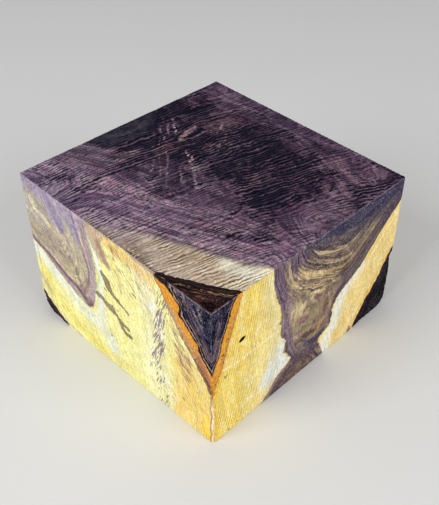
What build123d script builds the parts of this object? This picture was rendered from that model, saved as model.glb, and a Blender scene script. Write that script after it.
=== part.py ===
"""A bowl blank: one block of figured crotch walnut, band-sawn square.

It is a single piece of stock with six sawn faces. Bark is still grown on at three corners. At
the front top corner the saw ran through thick bark, and loose bark has broken out of the top
there, behind two thin rims. At the lower left and lower right corners the bark stands back a
little from the sawn wood and ends in its own rounded outside. All sizes are in millimetres.
"""

from math import sqrt
import os

from build123d import *

# Sawn block. The front corner is the one at minus X and minus Y, and left and right are its
# neighbours as seen when facing it. The top was sawn a little out of parallel with the bottom.
width = 206.0  # along X, from the front corner to the right one
depth = 200.0  # along Y, from the front corner to the left one
height_front = 125.5
height_left = 136.5
height_right = 127.0

# Worn front edge below the bark.
arris_leg = 2.4  # measured on each side face
arris_height = 52.0  # above the bottom, where it starts to run out
arris_runout = 17.0

# Bark at the front top corner, and the pocket that has broken out of it.
bark_along_left = 51.0  # from the front corner, along the top edge to the left
bark_along_right = 26.0  # from the front corner, along the top edge to the right
pocket_rim = 2.0  # bark left standing at the two side faces
pocket_step = 1.2  # depth of the pocket where it starts, at the edge of the wood
pocket_depth = 5.0  # depth of the pocket at the front corner

# Bark at the lower right corner, on the right face.
right_bark_along = 43.0  # from the corner, along the bottom edge
right_bark_up = 60.0  # from the corner, up the standing edge
right_bark_set_back = 1.0  # behind the sawn wood
right_bark_round = 26.0  # radius of its outside at the very corner
right_bark_loss = 9.5  # how far along each edge the rounded outside reaches

# Bark at the lower left corner, on the left face.
left_bark_along = 32.0
left_bark_up = 20.5
left_bark_set_back = 1.5
left_bark_round = 18.0
left_bark_loss = 10.0

# Tunnel that a borer left, flattened, with its mouth in the right face.
borer_length = 4.0
borer_width = 1.8
borer_depth = 8.0
borer_from_front = 28.0
borer_height = 84.0
borer_tilt = 15.0  # degrees


def top_plane():
    """The sawn top: the plane through the front, left and right top corners, facing up."""
    front = Vector(-width / 2, -depth / 2, height_front)
    left = Vector(-width / 2, depth / 2, height_left)
    right = Vector(width / 2, -depth / 2, height_right)
    return Plane(origin=front, x_dir=right - front, z_dir=(right - front).cross(left - front))


def sawn_block():
    """The block as it left the saw: square, with a slightly tilted top."""
    rough_height = height_front + height_left + height_right
    rough = Box(width, depth, rough_height, align=(Align.CENTER, Align.CENTER, Align.MIN))
    return split(rough, bisect_by=top_plane(), keep=Keep.BOTTOM)


def worn_edge():
    """What has rubbed off the front edge: a flat from the floor up, running out under the bark."""
    corner = Vector(-width / 2, -depth / 2, 0)
    section = Plane.XY * make_face(
        Polyline(
            (corner.X, corner.Y),
            (corner.X + arris_leg, corner.Y),
            (corner.X, corner.Y + arris_leg),
            close=True,
        ).edges()
    )
    lift = Vector(0, 0, arris_height)
    on_right = corner + Vector(arris_leg, 0, 0) + lift
    on_left = corner + Vector(0, arris_leg, 0) + lift
    tip = corner + lift + Vector(0, 0, arris_runout)
    runout = Plane(origin=tip, x_dir=on_right - on_left, z_dir=(on_left - tip).cross(on_right - tip))
    return split(extrude(section, arris_height + arris_runout), bisect_by=runout, keep=Keep.TOP)


def bark_pocket():
    """The loose bark that has broken out of the top, up to the two thin rims that still stand."""
    corner = Vector(-width / 2, -depth / 2, height_front)
    on_left = bark_along_left - pocket_rim * (1 + bark_along_left / bark_along_right)
    on_right = bark_along_right - pocket_rim * (1 + bark_along_right / bark_along_left)
    inner = corner + Vector(pocket_rim, pocket_rim, 0)
    plan = Plane.XY * make_face(
        Polyline(
            (inner.X, inner.Y),
            (inner.X + on_right, inner.Y),
            (inner.X, inner.Y + on_left),
            close=True,
        ).edges()
    )
    column = extrude(plan, height_front + height_left + height_right)
    deep = inner - Vector(0, 0, pocket_depth)
    start_right = inner + Vector(on_right, 0, -pocket_step)
    start_left = inner + Vector(0, on_left, -pocket_step)
    start_right.Z += (height_right - height_front) * on_right / width
    start_left.Z += (height_left - height_front) * on_left / depth
    floor = Plane(
        origin=deep,
        x_dir=start_right - deep,
        z_dir=(start_right - deep).cross(start_left - deep),
    )
    return split(column, bisect_by=floor, keep=Keep.TOP)


def corner_bark(along, up, set_back, outside_radius, loss):
    """What a lower bark corner lacks, drawn for a corner at the origin.

    The wood is towards plus X along the sawn face, plus Y into the block and plus Z up. The
    sawn face lacks a thin layer over the bark, and the corner lacks what lies outside a ball.
    """
    wood_edge = Spline(
        (0, up),
        (0.3 * along, 0.78 * up),
        (0.62 * along, 0.45 * up),
        (0.88 * along, 0.24 * up),
        (along, 0),
    )
    patch = make_face([*wood_edge.edges(), *Polyline((along, 0), (0, 0), (0, up)).edges()])
    layer = extrude(Plane.XZ * patch, -set_back)
    middle = (loss + sqrt(3 * outside_radius**2 - 2 * loss**2)) / 3
    cube = Box(middle, middle, middle, align=(Align.MIN, Align.MIN, Align.MIN))
    return layer + (cube - Pos(middle, middle, middle) * Sphere(outside_radius))


def borer_hole():
    """A short flattened tunnel that runs straight in from the right face."""
    mouth = Plane(
        origin=(-width / 2 + borer_from_front, -depth / 2, borer_height),
        x_dir=(1, 0, 0),
        z_dir=(0, -1, 0),
    )
    slot = Rot(0, 0, borer_tilt) * Ellipse(borer_length / 2, borer_width / 2)
    return mouth * extrude(slot, -borer_depth)


turning_blank = sawn_block() - worn_edge() - bark_pocket() - borer_hole()

right_bark = corner_bark(
    right_bark_along, right_bark_up, right_bark_set_back, right_bark_round, right_bark_loss
)
turning_blank -= Pos(width / 2, -depth / 2, 0) * mirror(right_bark, about=Plane.YZ)

left_bark = corner_bark(
    left_bark_along, left_bark_up, left_bark_set_back, left_bark_round, left_bark_loss
)
left_corner = Plane(origin=(-width / 2, depth / 2, 0), x_dir=(0, -1, 0), z_dir=(0, 0, 1))
turning_blank -= left_corner * left_bark

os.makedirs("parts", exist_ok=True)
export_step(turning_blank, "parts/turning_blank.step")
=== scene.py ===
import bmesh
import bpy
import numpy as np
from math import radians
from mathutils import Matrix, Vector, noise


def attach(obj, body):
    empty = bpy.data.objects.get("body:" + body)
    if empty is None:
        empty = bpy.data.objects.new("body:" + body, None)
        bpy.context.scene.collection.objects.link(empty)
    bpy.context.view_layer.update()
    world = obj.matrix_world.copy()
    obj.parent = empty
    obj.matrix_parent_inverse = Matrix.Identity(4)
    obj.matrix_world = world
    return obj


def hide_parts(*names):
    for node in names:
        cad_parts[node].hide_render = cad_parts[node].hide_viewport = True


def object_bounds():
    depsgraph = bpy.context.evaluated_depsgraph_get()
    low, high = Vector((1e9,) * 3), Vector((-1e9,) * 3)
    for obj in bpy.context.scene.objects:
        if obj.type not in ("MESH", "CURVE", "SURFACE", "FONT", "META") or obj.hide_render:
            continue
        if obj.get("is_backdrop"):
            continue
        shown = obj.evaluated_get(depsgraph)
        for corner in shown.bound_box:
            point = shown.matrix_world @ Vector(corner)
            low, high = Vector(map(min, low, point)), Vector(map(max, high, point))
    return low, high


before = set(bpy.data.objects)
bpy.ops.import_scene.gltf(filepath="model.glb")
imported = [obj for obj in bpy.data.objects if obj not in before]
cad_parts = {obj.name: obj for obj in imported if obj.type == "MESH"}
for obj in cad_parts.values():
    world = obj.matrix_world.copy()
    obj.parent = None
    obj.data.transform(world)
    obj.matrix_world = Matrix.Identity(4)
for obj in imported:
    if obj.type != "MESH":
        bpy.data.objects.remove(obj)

cad_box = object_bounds()


# Camera
# It looks down on the blank's front corner, from where the picture was taken, and shows the whole
# block with a little floor round it.
camera_data = bpy.data.cameras.new("camera")
camera_data.lens = 52.44
camera_data.sensor_width = 36
camera = bpy.data.objects.new("camera", camera_data)
camera.location = (-0.3248, -0.3290, 0.4285)
camera.rotation_euler = (radians(51.24), radians(0.36), radians(-45.35))
bpy.context.scene.collection.objects.link(camera)
bpy.context.scene.camera = camera
bpy.context.scene.view_settings.view_transform = "Standard"


# Studio
# A pale seamless floor that runs out of sight, and three large soft lamps. The strongest light
# comes from the left, so that the left face is the brightest, and the world adds a little more.
def add_node(tree, kind, inputs=None, **settings):
    """Adds a shader node, sets it up, and joins or sets its inputs by name or number."""
    node = tree.nodes.new("ShaderNode" + kind)
    for key, value in settings.items():
        setattr(node, key, value)
    for key, value in (inputs or {}).items():
        socket = node.inputs[key]
        if isinstance(value, bpy.types.NodeSocket):
            tree.links.new(value, socket)
        else:
            socket.default_value = value
    return node


def new_material(name):
    """An empty material and its node tree."""
    material = bpy.data.materials.new(name)
    material.use_nodes = True
    material.node_tree.nodes.clear()
    return material, material.node_tree


bpy.ops.object.select_all(action="DESELECT")
bpy.ops.mesh.primitive_plane_add(size=12, location=(0, 0, 0))
floor = bpy.context.object
floor.name = "floor"
floor_finish, tree = new_material("pale_floor")
shade = add_node(tree, "BsdfPrincipled", {"Base Color": (0.78, 0.78, 0.78, 1), "Roughness": 0.9})
add_node(tree, "OutputMaterial", {"Surface": shade.outputs[0]})
floor.data.materials.append(floor_finish)
floor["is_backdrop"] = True

for name, place, size, watts in (
    ("key_lamp", (-1.5, 0.15, 1.1), 1.1, 18.5),
    ("fill_lamp", (0.2, -1.9, 1.0), 1.4, 21),
    ("top_lamp", (0.3, 0.5, 1.9), 1.6, 1.5),
):
    lamp = bpy.data.lights.new(name, "AREA")
    lamp.size = size
    lamp.energy = watts
    lamp_object = bpy.data.objects.new(name, lamp)
    lamp_object.location = place
    lamp_object.rotation_euler = (-lamp_object.location).to_track_quat("-Z", "Y").to_euler()
    bpy.context.scene.collection.objects.link(lamp_object)

world = bpy.data.worlds.new("studio")
bpy.context.scene.world = world
world.use_nodes = True
tree = world.node_tree
tree.nodes.clear()
ray = add_node(tree, "LightPath")
seen = ray.outputs["Is Camera Ray"]
for other in ("Is Glossy Ray", "Is Transmission Ray"):
    seen = add_node(tree, "Math", {0: seen, 1: ray.outputs[other]}, operation="MAXIMUM").outputs[0]
even = add_node(tree, "Background", {"Color": (1, 1, 1, 1), "Strength": 0.35})
backdrop = add_node(tree, "Background", {"Color": (0.86, 0.87, 0.88, 1), "Strength": 1})
mix = add_node(tree, "MixShader", {0: seen, 1: even.outputs[0], 2: backdrop.outputs[0]})
add_node(tree, "OutputWorld", {"Surface": mix.outputs[0]})


# Blank: the sawn block
# One block of crotch walnut, sawn square, with its top a little out of parallel. Its mesh starts
# as a plain box that is cut fine on the three faces that carry the most figure and saw marks.
mm = 0.001
hair = 0.01  # millimetres within which a point still counts as lying on a face
facing = 0.9  # how much of a face's normal lies along the axis that it looks along
width, depth = 206.0, 200.0
height = {"front": 125.5, "left": 136.5, "right": 127.0, "back": 138.0}
corner = {"front": (-1, -1), "left": (-1, 1), "right": (1, -1), "back": (1, 1)}

bpy.ops.object.select_all(action="DESELECT")
bpy.ops.mesh.primitive_cube_add(size=1, location=(0, 0, height["front"] * mm / 2))
blank = bpy.context.object
blank.name = "walnut_blank"
blank.scale = (width * mm, depth * mm, height["front"] * mm)
bpy.ops.object.transform_apply(location=True, rotation=False, scale=True)
bpy.ops.object.mode_set(mode="EDIT")
bpy.ops.mesh.select_mode(type="VERT")


def select(test, of="verts"):
    """Selects the vertices, edges or faces that the test picks, and nothing else."""
    cage = bmesh.from_edit_mesh(blank.data)
    bpy.ops.mesh.select_all(action="DESELECT")
    for part in getattr(cage, of):
        if test(part):
            part.select_set(True)
    cage.select_flush_mode()
    bmesh.update_edit_mesh(blank.data)


for name, (side_x, side_y) in corner.items():
    select(lambda v: v.co.z > 10 * mm and v.co.x * side_x > 0 and v.co.y * side_y > 0)
    bpy.ops.transform.translate(value=(0, 0, (height[name] - height["front"]) * mm))

# cut into strips along X, Y and Z, then each face of the top, right and left in four both ways
bpy.ops.mesh.select_mode(type="EDGE")
for axis, cuts in ((0, 33), (1, 67), (2, 24)):
    def runs_along(edge):
        """Whether an edge lies along the axis rather than across it."""
        run = edge.verts[1].co - edge.verts[0].co
        return abs(run[axis]) == max(abs(c) for c in run)
    select(runs_along, "edges")
    bpy.ops.mesh.subdivide(number_cuts=cuts)
bpy.ops.mesh.select_mode(type="FACE")
select(lambda f: f.normal.z > facing or f.normal.y < -facing or f.normal.x < -facing, "faces")
bpy.ops.mesh.subdivide(number_cuts=3)


def by_bark(face):
    """Faces on or beside bark and the worn edge, which are cut finer. Each bark lies within a
    corner that is given by how far it reaches along each edge."""
    x, y, z = face.calc_center_median() / mm
    x, y = x + width / 2, y + depth / 2
    front = x / 28 + y / 53 + max(0, height["front"] - z) / 59 < 1
    worn = x + y < 5 and z < 75
    right = y < 1 and (width - x) / 48 + z / 66 < 1
    left = x < 1 and (depth - y) / 36 + z / 25 < 1
    return front or worn or right or left


select(by_bark, "faces")
bpy.ops.mesh.subdivide(number_cuts=1)

# and finest round the small hole that a beetle left in the right face
hole = {"along": 28.0, "up": 84.0, "long": 4.5, "wide": 2.5, "deep": 8.0, "tilt": 15.0}


def by_hole(face):
    """Faces round the hole's middle, as far out as its edge and a little more."""
    reach_along, reach_up = 3.2, 2.4
    x, y, z = face.calc_center_median() / mm
    along, up = x + width / 2 - hole["along"], z - hole["up"]
    return y < -depth / 2 + 0.1 and abs(along) < reach_along and abs(up) < reach_up


select(by_hole, "faces")
bpy.ops.mesh.subdivide(number_cuts=4)
bpy.ops.object.mode_set(mode="OBJECT")
mesh = blank.data
point = np.empty(len(mesh.vertices) * 3)
mesh.vertices.foreach_get("co", point)
point = point.reshape(-1, 3) / mm + (width / 2, depth / 2, 0)  # millimetres from the front corner


def top_height(x, y):
    """Height of the sawn top above the bottom."""
    rise_right, rise_left = height["right"] - height["front"], height["left"] - height["front"]
    return height["front"] + rise_right * x / width + rise_left * y / depth


# Where a face's own two coordinates lie in space.
faces = {
    "top": lambda a, b: (a, b, top_height(a, b)),
    "right": lambda a, b: (a, 0 * a, b),
    "left": lambda a, b: (0 * a, a, b),
    "back right": lambda a, b: (width + 0 * a, a, b),
    "back left": lambda a, b: (a, depth + 0 * a, b),
    "bottom": lambda a, b: (a, b, 0 * a),
}


def smooth_line(corners, step):
    """A smooth line through given points, with more points in between, about a step apart."""
    p = np.array(corners, float)
    p = np.vstack([2 * p[0] - p[1], p, 2 * p[-1] - p[-2]])
    line = [p[1:2]]
    for a, b, c, d in zip(p, p[1:], p[2:], p[3:]):
        count = max(2, int(np.linalg.norm(c - b) / step) + 1)
        t = np.linspace(0, 1, count)[1:, None]
        bend, twist = 2 * a - 5 * b + 4 * c - d, 3 * b - a - 3 * c + d
        line.append(0.5 * (2 * b + (c - a) * t + bend * t**2 + twist * t**3))
    return np.vstack(line)


# Growth lines, drawn on the faces. The number is how far in from the outside the line
# lies, on a scale where the bark ends at 0, the outer bark at -10 and the sapwood at 30.
growth_lines = (
    ("right", -10, (25, 125), (20, 120), (17, 112), (12, 100), (9, 95), (7, 85), (5, 79), (0, 69)),
    ("right", 0, (28, 125), (24, 113), (20, 101), (16, 90), (12, 78), (8, 68), (5, 60), (2, 51)),
    ("right", 30, (57, 127), (58, 115), (60, 105), (62, 96), (66, 88), (68, 80), (68, 75), (66, 70),
     (68, 64), (70, 58), (74, 50), (74, 44), (73, 39), (76, 33), (80, 28), (82, 25), (79, 22.5), (71, 20),
     (64, 13), (58, 7), (50, 0.5)),
    ("right", 30, (206, 108), (200, 103), (190, 95), (180, 87), (172, 79), (165, 72), (158, 67), (150, 62),
     (140, 57.5), (134, 53), (129.5, 48), (128.5, 42), (129, 35), (127, 29), (121, 24), (114, 22),
     (113, 19), (115, 15), (118, 8), (122, 1)),
    ("right", 0, (206, 61), (202, 57.5), (197, 50.5), (191.5, 40.5), (186.5, 35), (180, 27.5), (172.5, 19),
     (165, 9), (162, 0)),
    ("right", -10, (206, 57), (202, 53.5), (198, 46.5), (193, 37.5), (188.5, 32), (182.5, 24.5), (175, 17),
     (168, 8), (165, 0)),
    ("right", -20, (13, 125), (9, 110), (5, 96), (1, 84)),
    ("right", -22, (206, 20), (200, 8), (192, 0)),
    ("right", 45, (66, 127), (70, 115), (76, 102), (86, 92), (98, 83), (115, 76), (135, 69), (146, 70),
     (158, 79), (172, 90), (186, 102), (206, 116)),
    ("right", 60, (84, 127), (89, 117), (98, 107), (112, 98), (128, 90), (142, 86), (154, 94), (168, 104),
     (186, 114), (206, 121)),
    ("right", 80, (102, 124), (112, 115), (130, 108), (148, 106), (166, 113), (184, 121)),
    ("right", 40, (85, 62), (84, 50), (88, 38), (100, 32), (114, 34), (120, 44), (118, 56)),
    ("right", 44, (70, 2), (80, 11), (92, 14), (104, 9), (112, 1)),
    ("left", -10, (47, 127), (42, 122), (36, 118), (30, 114), (29, 111), (32, 107), (30, 103), (25, 100),
     (21, 96), (17, 92), (13, 89), (13, 85), (9, 79), (4, 73), (0, 69)),
    ("left", -20, (27, 124), (20, 112), (13, 102), (7, 94), (1, 84)),
    ("left", 0, (50.5, 128), (46, 117), (40.5, 107), (35, 98), (30, 89), (23, 80), (14, 70), (6, 59),
     (2, 51)),
    ("left", 30, (120, 132), (122, 124), (121, 112), (119, 100), (118, 90), (119, 80), (121, 70),
     (123, 62), (125, 54), (128, 48), (132, 45), (137, 45), (145, 48), (155, 53), (165, 58), (175, 64),
     (185, 70), (200, 76)),
    ("left", 42, (200, 84), (190, 79), (178, 74), (166, 68), (154, 62), (145, 60), (138, 62), (134, 70),
     (132, 80), (132, 92), (136, 104), (141, 116), (146, 135)),
    ("left", 54, (200, 95), (185, 90), (170, 84), (156, 79), (147, 82), (145, 92), (150, 106), (158, 120),
     (164, 135)),
    ("left", 66, (200, 112), (180, 106), (162, 98), (158, 104), (168, 120), (178, 136)),
    ("left", 0, (200, 21.5), (194, 17.5), (188, 13), (181, 8), (174, 3.5), (168, 0)),
    ("left", -10, (200, 19), (196, 15), (190, 11), (184, 6), (179, 3), (172, 0)),
    ("top", -28, (0, 0), (2, 0)),
    ("top", -20, (0, 28), (7, 15), (13, 0)),
    ("top", -10, (0, 42), (5, 33), (11, 22), (17, 10), (24, 0)),
    ("top", 0, (0, 50.5), (6, 39), (13, 26), (20, 13), (27, 0)),
    ("top", 30, (0, 122), (3, 115), (6, 108), (10, 101), (15, 95), (19, 88), (22, 80), (25, 72), (28, 65),
     (31, 58), (34.5, 50), (37, 42), (41.5, 33), (45.5, 25), (50, 15), (55.5, 5), (57, 0)),
    ("top", 50, (20, 200), (28, 180), (36, 160), (40, 140), (42, 120), (46, 100), (54, 80), (62, 60),
     (70, 40), (76, 20), (80, 0)),
    ("top", 68, (48, 200), (58, 185), (70, 170), (84, 158), (100, 150), (120, 150), (138, 156), (150, 172),
     (156, 200)),
    ("top", 78, (62, 200), (68, 188), (78, 180), (95, 176), (112, 178), (122, 188), (128, 200)),
    ("top", 58, (150, 0), (158, 20), (165, 40), (172, 60), (178, 80), (180, 100), (178, 120), (175, 140),
     (172, 160), (170, 180), (168, 200)),
    ("top", 46, (180, 0), (190, 40), (195, 80), (197, 120), (195, 160), (190, 200)),
    ("back right", 30, (0, 108), (30, 103), (70, 92), (110, 82), (150, 72), (200, 60)),
    ("back right", 0, (0, 64), (10, 50), (20, 34), (28, 16), (33, 0)),
    ("back right", -10, (0, 60), (9, 46), (18, 30), (25, 13), (30, 0)),
    ("back right", 45, (0, 117), (60, 112), (120, 104), (200, 92)),
    ("back left", 30, (0, 76), (40, 70), (90, 66), (150, 62), (206, 60)),
    ("back left", 0, (0, 24), (9, 17), (16, 8), (20, 0)),
    ("back left", -10, (0, 20.5), (7, 14), (13, 6), (16, 0)),
    ("back left", 48, (0, 92), (50, 98), (110, 102), (160, 98), (206, 92)),
    ("bottom", 30, (52, 0), (58, 22), (72, 42), (94, 50), (112, 40), (120, 20), (122, 0)),
    ("bottom", 0, (161, 0), (176, 18), (190, 28), (206, 33)),
    ("bottom", 0, (0, 166), (12, 178), (20, 200)),
    ("bottom", 16, (20, 60), (60, 110), (120, 130), (180, 140)),
    ("bottom", 16, (40, 180), (110, 185), (190, 180)),
)

# The field between the lines: it takes every line's own number near that line, within a little
# give, and passes smoothly from one to the next through the whole block.
post_spacing, give, at_once = 6, 0.6, 4000
posts, values = [], []
for face, value, *corners in growth_lines:
    line = smooth_line(corners, post_spacing)
    posts.append(np.array([np.broadcast_to(c, len(line)) for c in faces[face](line[:, 0], line[:, 1])]).T)
    values.append(np.full(len(line), float(value)))
posts, values = np.vstack(posts), np.concatenate(values)
posts, kept = np.unique(posts.round(1), axis=0, return_index=True)
values = values[kept]


def spread(a, b):
    """Distances from each point of a to each of b."""
    return np.linalg.norm(a[:, None] - b[None], axis=2)


count = len(posts)
system = np.zeros((count + 4, count + 4))
system[:count, :count] = spread(posts, posts) - give * np.eye(count)
system[:count, count] = 1
system[:count, count + 1:] = posts
system[count:, :count] = system[:count, count:].T
weights = np.linalg.solve(system, np.append(values, np.zeros(4)))
growth = np.concatenate([
    spread(chunk, posts) @ weights[:count] + weights[count] + chunk @ weights[count + 1:]
    for chunk in np.array_split(point, 1 + len(point) // at_once)
])


def keep(name, values, kind="FLOAT"):
    """Stores one value or colour for each vertex, for the finishes to read."""
    layer = mesh.attributes.new(name, kind, "POINT")
    slot = "color" if kind == "FLOAT_COLOR" else "value"
    layer.data.foreach_set(slot, np.asarray(values, np.float32).ravel())


keep("growth", growth)


# Blank: its figure
# The wood's own stains and streaks, brushed on where they lie on each face, over the ground
# colours of sapwood and heartwood, with a few marks of painted shade and painted highlight among
# them. The finishes then add the grain and the saw marks.
def rgb(red, green, blue):
    """A colour as it shows, from 0 to 255, made linear."""
    shown = np.array((red, green, blue)) / 255
    return np.where(shown <= 0.04045, shown / 12.92, ((shown + 0.055) / 1.055) ** 2.4)


def wander(coarse, fine):
    """How far each vertex's brush strokes stray, in coarse waves of 9 mm and fine ones of 2.6 mm,
    so that no edge is too smooth."""
    spots = map(Vector, point)
    return np.array([noise.noise_vector(p / 9) * coarse + noise.noise_vector(p / 2.6) * fine for p in spots])


noise.seed_set(1)  # so that the strokes stray the same way each time
strayed = point + wander(coarse=1.6, fine=0.7)
tiny = 1e-9  # keeps a division from being one by nothing
on_face = {
    "top": (point[:, 2] > top_height(point[:, 0], point[:, 1]) - hair, (0, 1)),
    "right": (point[:, 1] < hair, (0, 2)),
    "left": (point[:, 0] < hair, (1, 2)),
}
for face, (rows, axes) in on_face.items():
    on_face[face] = np.flatnonzero(rows), strayed[rows][:, axes]


def distance(spots, line):
    """Shortest distance from each spot to a line of short straight runs."""
    nearest = np.full(len(spots), np.inf)
    for a, b in zip(line, line[1:]):
        run = b - a
        t = np.clip((spots - a) @ run / max(run @ run, tiny), 0, 1)
        nearest = np.minimum(nearest, np.linalg.norm(spots - a - t[:, None] * run, axis=1))
    return nearest


def enclosed(spots, line):
    """Which spots lie inside a closed outline."""
    inside = np.zeros(len(spots), bool)
    for (ax, ay), (bx, by) in zip(line, np.roll(line, -1, axis=0)):
        crosses = (ay > spots[:, 1]) != (by > spots[:, 1])
        at = ax + (spots[:, 1] - ay) * (bx - ax) / (by - ay if by != ay else tiny)
        inside ^= crosses & (spots[:, 0] < at)
    return inside


def paint(face, layer, *strokes):
    """Lays strokes of a colour or an amount. Each has a reach, a soft edge, a strength and its
    corners, in millimetres, and one that ends where it starts is filled in."""
    rows, spots = on_face[face]
    coat = coats[layer, face == "top"]
    for colour, reach, soft, strength, *corners in strokes:
        line = smooth_line(corners, 3)
        near = distance(spots, line)
        if corners[0] == corners[-1]:
            near = np.where(enclosed(spots, line), -near, near)
        cover = np.clip((reach - near) / soft + 0.5, 0, 1)
        cover = (cover * cover * (3 - 2 * cover) * strength)[:, None]
        coat[rows] += ((rgb(*colour) if isinstance(colour, tuple) else colour) - coat[rows]) * cover


# What is painted: the grounds of sapwood, heartwood and inner bark, the strength of the dark figure,
# brown stain in the sapwood, and short purple flecks that lean one way or the other. The top has its
# own coats, so that nothing runs over its edges onto the sides.
coats = {}
for on_top in (False, True):
    coats["sapwood", on_top] = np.tile(rgb(232, 213, 138), (len(point), 1))
    coats["heartwood", on_top] = np.tile(rgb(104, 90, 104), (len(point), 1))
    coats["inner", on_top] = np.tile(rgb(238, 168, 58), (len(point), 1))
    for name in ("figure", "stain", "fleck", "dash"):
        coats[name, on_top] = np.zeros((len(point), 1))

# top: tan sapwood by the bark, then mauve heartwood that turns almost black in the middle
paint("top", "sapwood",
      ((182, 164, 148), 60, 1, 1, (20, 60), (30, 60)),
      ((150, 134, 138), 8, 14, 0.8, (0, 118), (10, 88)),
      ((190, 172, 152), 11, 12, 1, (16, 48), (30, 28), (38, 0)),
      ((222, 218, 200), 7, 10, 1, (40, 24), (46, 8), (50, -6)),
      ((160, 134, 114), 5, 9, 0.5, (14, 52), (26, 42)),
      ((212, 204, 182), 5, 7, 0.8, (31, 8), (38, 2)),
      ((140, 120, 104), 5, 8, 0.8, (4, 68), (6, 82)),
      ((150, 134, 138), 3, 5, 0.9, (42, 34), (47, 22), (51, 12)),
      # painted shade along the top's left edge
      ((112, 94, 84), 2.4, 4, 0.75, (0, 52), (0, 116)))
paint("top", "heartwood",
      ((94, 76, 94), 300, 1, 1, (100, 100), (110, 100)),
      ((128, 110, 132), 36, 40, 1, (-4, 210), (8, 150), (24, 110)),
      ((136, 114, 132), 12, 16, 0.8, (30, 150), (42, 130), (54, 88), (66, 52), (78, 22), (88, 4)),
      ((134, 114, 130), 9, 10, 1, (24, 104), (34, 76), (44, 52), (54, 28), (60, 8), (64, -4)),
      ((100, 84, 92), 6, 12, 0.5, (56, 66), (64, 48)),
      ((74, 57, 74), 2.5, 6, 0.9, (60, 42), (70, 30), (84, 34), (98, 38)),
      ((88, 72, 96), 5, 10, 0.7, (8, 186), (18, 174), (30, 172)),
      ((96, 82, 96), 4, 8, 0.7, (20, 154), (44, 156), (60, 158)),
      ((104, 84, 104), 10, 14, 1, (90, 12), (122, 12)),
      ((102, 82, 98), 14, 18, 1, (150, 14), (180, 22), (186, 44)),
      ((106, 88, 106), 5, 9, 0.9, (204, 58), (204, 36)),
      ((98, 81, 100), 12, 18, 1, (198, 90), (200, 140), (198, 200)),
      ((68, 54, 72), 5, 8, 0.8, (190, 58), (189, 72)),
      ((110, 86, 98), 4, 9, 0.6, (186, 150), (150, 184), (128, 200)),
      ((80, 62, 77), 2, 22, 1, (66, 150), (86, 166), (104, 172), (128, 172), (156, 196), (172, 180),
       (180, 130), (178, 96), (170, 60), (150, 38), (122, 38), (100, 48), (98, 70), (108, 96), (100, 116),
       (90, 134), (66, 150)),
      ((42, 40, 54), 0.5, 4, 1, (60, 204), (64, 191), (72, 182), (86, 177), (100, 176), (113, 179),
       (123, 188), (130, 204), (60, 204)),
      ((26, 23, 38), 1.8, 4, 1, (60, 202), (64, 190), (72, 181), (86, 176), (100, 175), (113, 178),
       (124, 188), (131, 202)),
      ((66, 64, 74), 2, 4, 0.7, (78, 197), (84, 191), (100, 188), (114, 191)),
      ((136, 114, 120), 1.6, 4, 0.8, (50, 202), (58, 187), (70, 173), (82, 162)),
      ((114, 100, 112), 6, 9, 0.8, (40, 198), (50, 176), (62, 164)),
      ((142, 118, 120), 1.8, 4, 0.75, (116, 152), (126, 154), (140, 158)),
      ((106, 74, 78), 5, 8, 0.6, (92, 154), (110, 152)),
      ((92, 88, 102), 2.5, 5, 0.6, (98, 116), (120, 119), (147, 120)),
      ((120, 100, 116), 5, 9, 0.8, (72, 90), (73, 82), (84, 60)),
      ((124, 112, 122), 5, 9, 0.7, (50, 200), (58, 188)),
      ((138, 116, 136), 4, 8, 1, (70, 2), (80, 8)),
      ((108, 88, 106), 3, 7, 0.9, (42, 118), (48, 112)),
      ((128, 106, 112), 3, 5, 0.8, (121, 152), (130, 158)),
      ((124, 102, 120), 3.5, 7, 0.8, (76, 100), (78, 90), (78, 78)),
      ((68, 52, 70), 3, 8, 0.8, (80, 36), (94, 36)),
      ((72, 60, 76), 4, 7, 0.8, (118, 3), (127, 3)),
      ((72, 56, 74), 4, 8, 0.8, (126, 18), (137, 26)),
      ((106, 86, 104), 4, 7, 0.8, (54, 28), (58, 22)),
      ((92, 80, 96), 5, 8, 0.8, (82, 154), (88, 156)),
      ((78, 60, 76), 4, 8, 0.7, (80, 26), (92, 26)),
      ((56, 48, 64), 5, 7, 0.8, (60, 114), (70, 116)),
      ((84, 67, 83), 4, 7, 0.7, (72, 44), (80, 46)),
      ((88, 76, 95), 5, 8, 0.7, (2, 156), (8, 152)),
      ((66, 57, 70), 4, 7, 0.8, (61, 169), (68, 162)),
      ((80, 62, 80), 3, 8, 0.6, (54, 106), (60, 104)),
      ((78, 62, 80), 4, 8, 0.8, (192, 166), (200, 164)),
      ((130, 108, 122), 3, 6, 0.8, (65, 74), (68, 76)),
      ((56, 46, 64), 3, 6, 0.9, (205, 8), (206, 22)),
      ((130, 108, 126), 4, 6, 0.9, (75, 88), (80, 84)),
      ((84, 68, 82), 3, 6, 0.7, (62, 89), (65, 82)))
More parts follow.
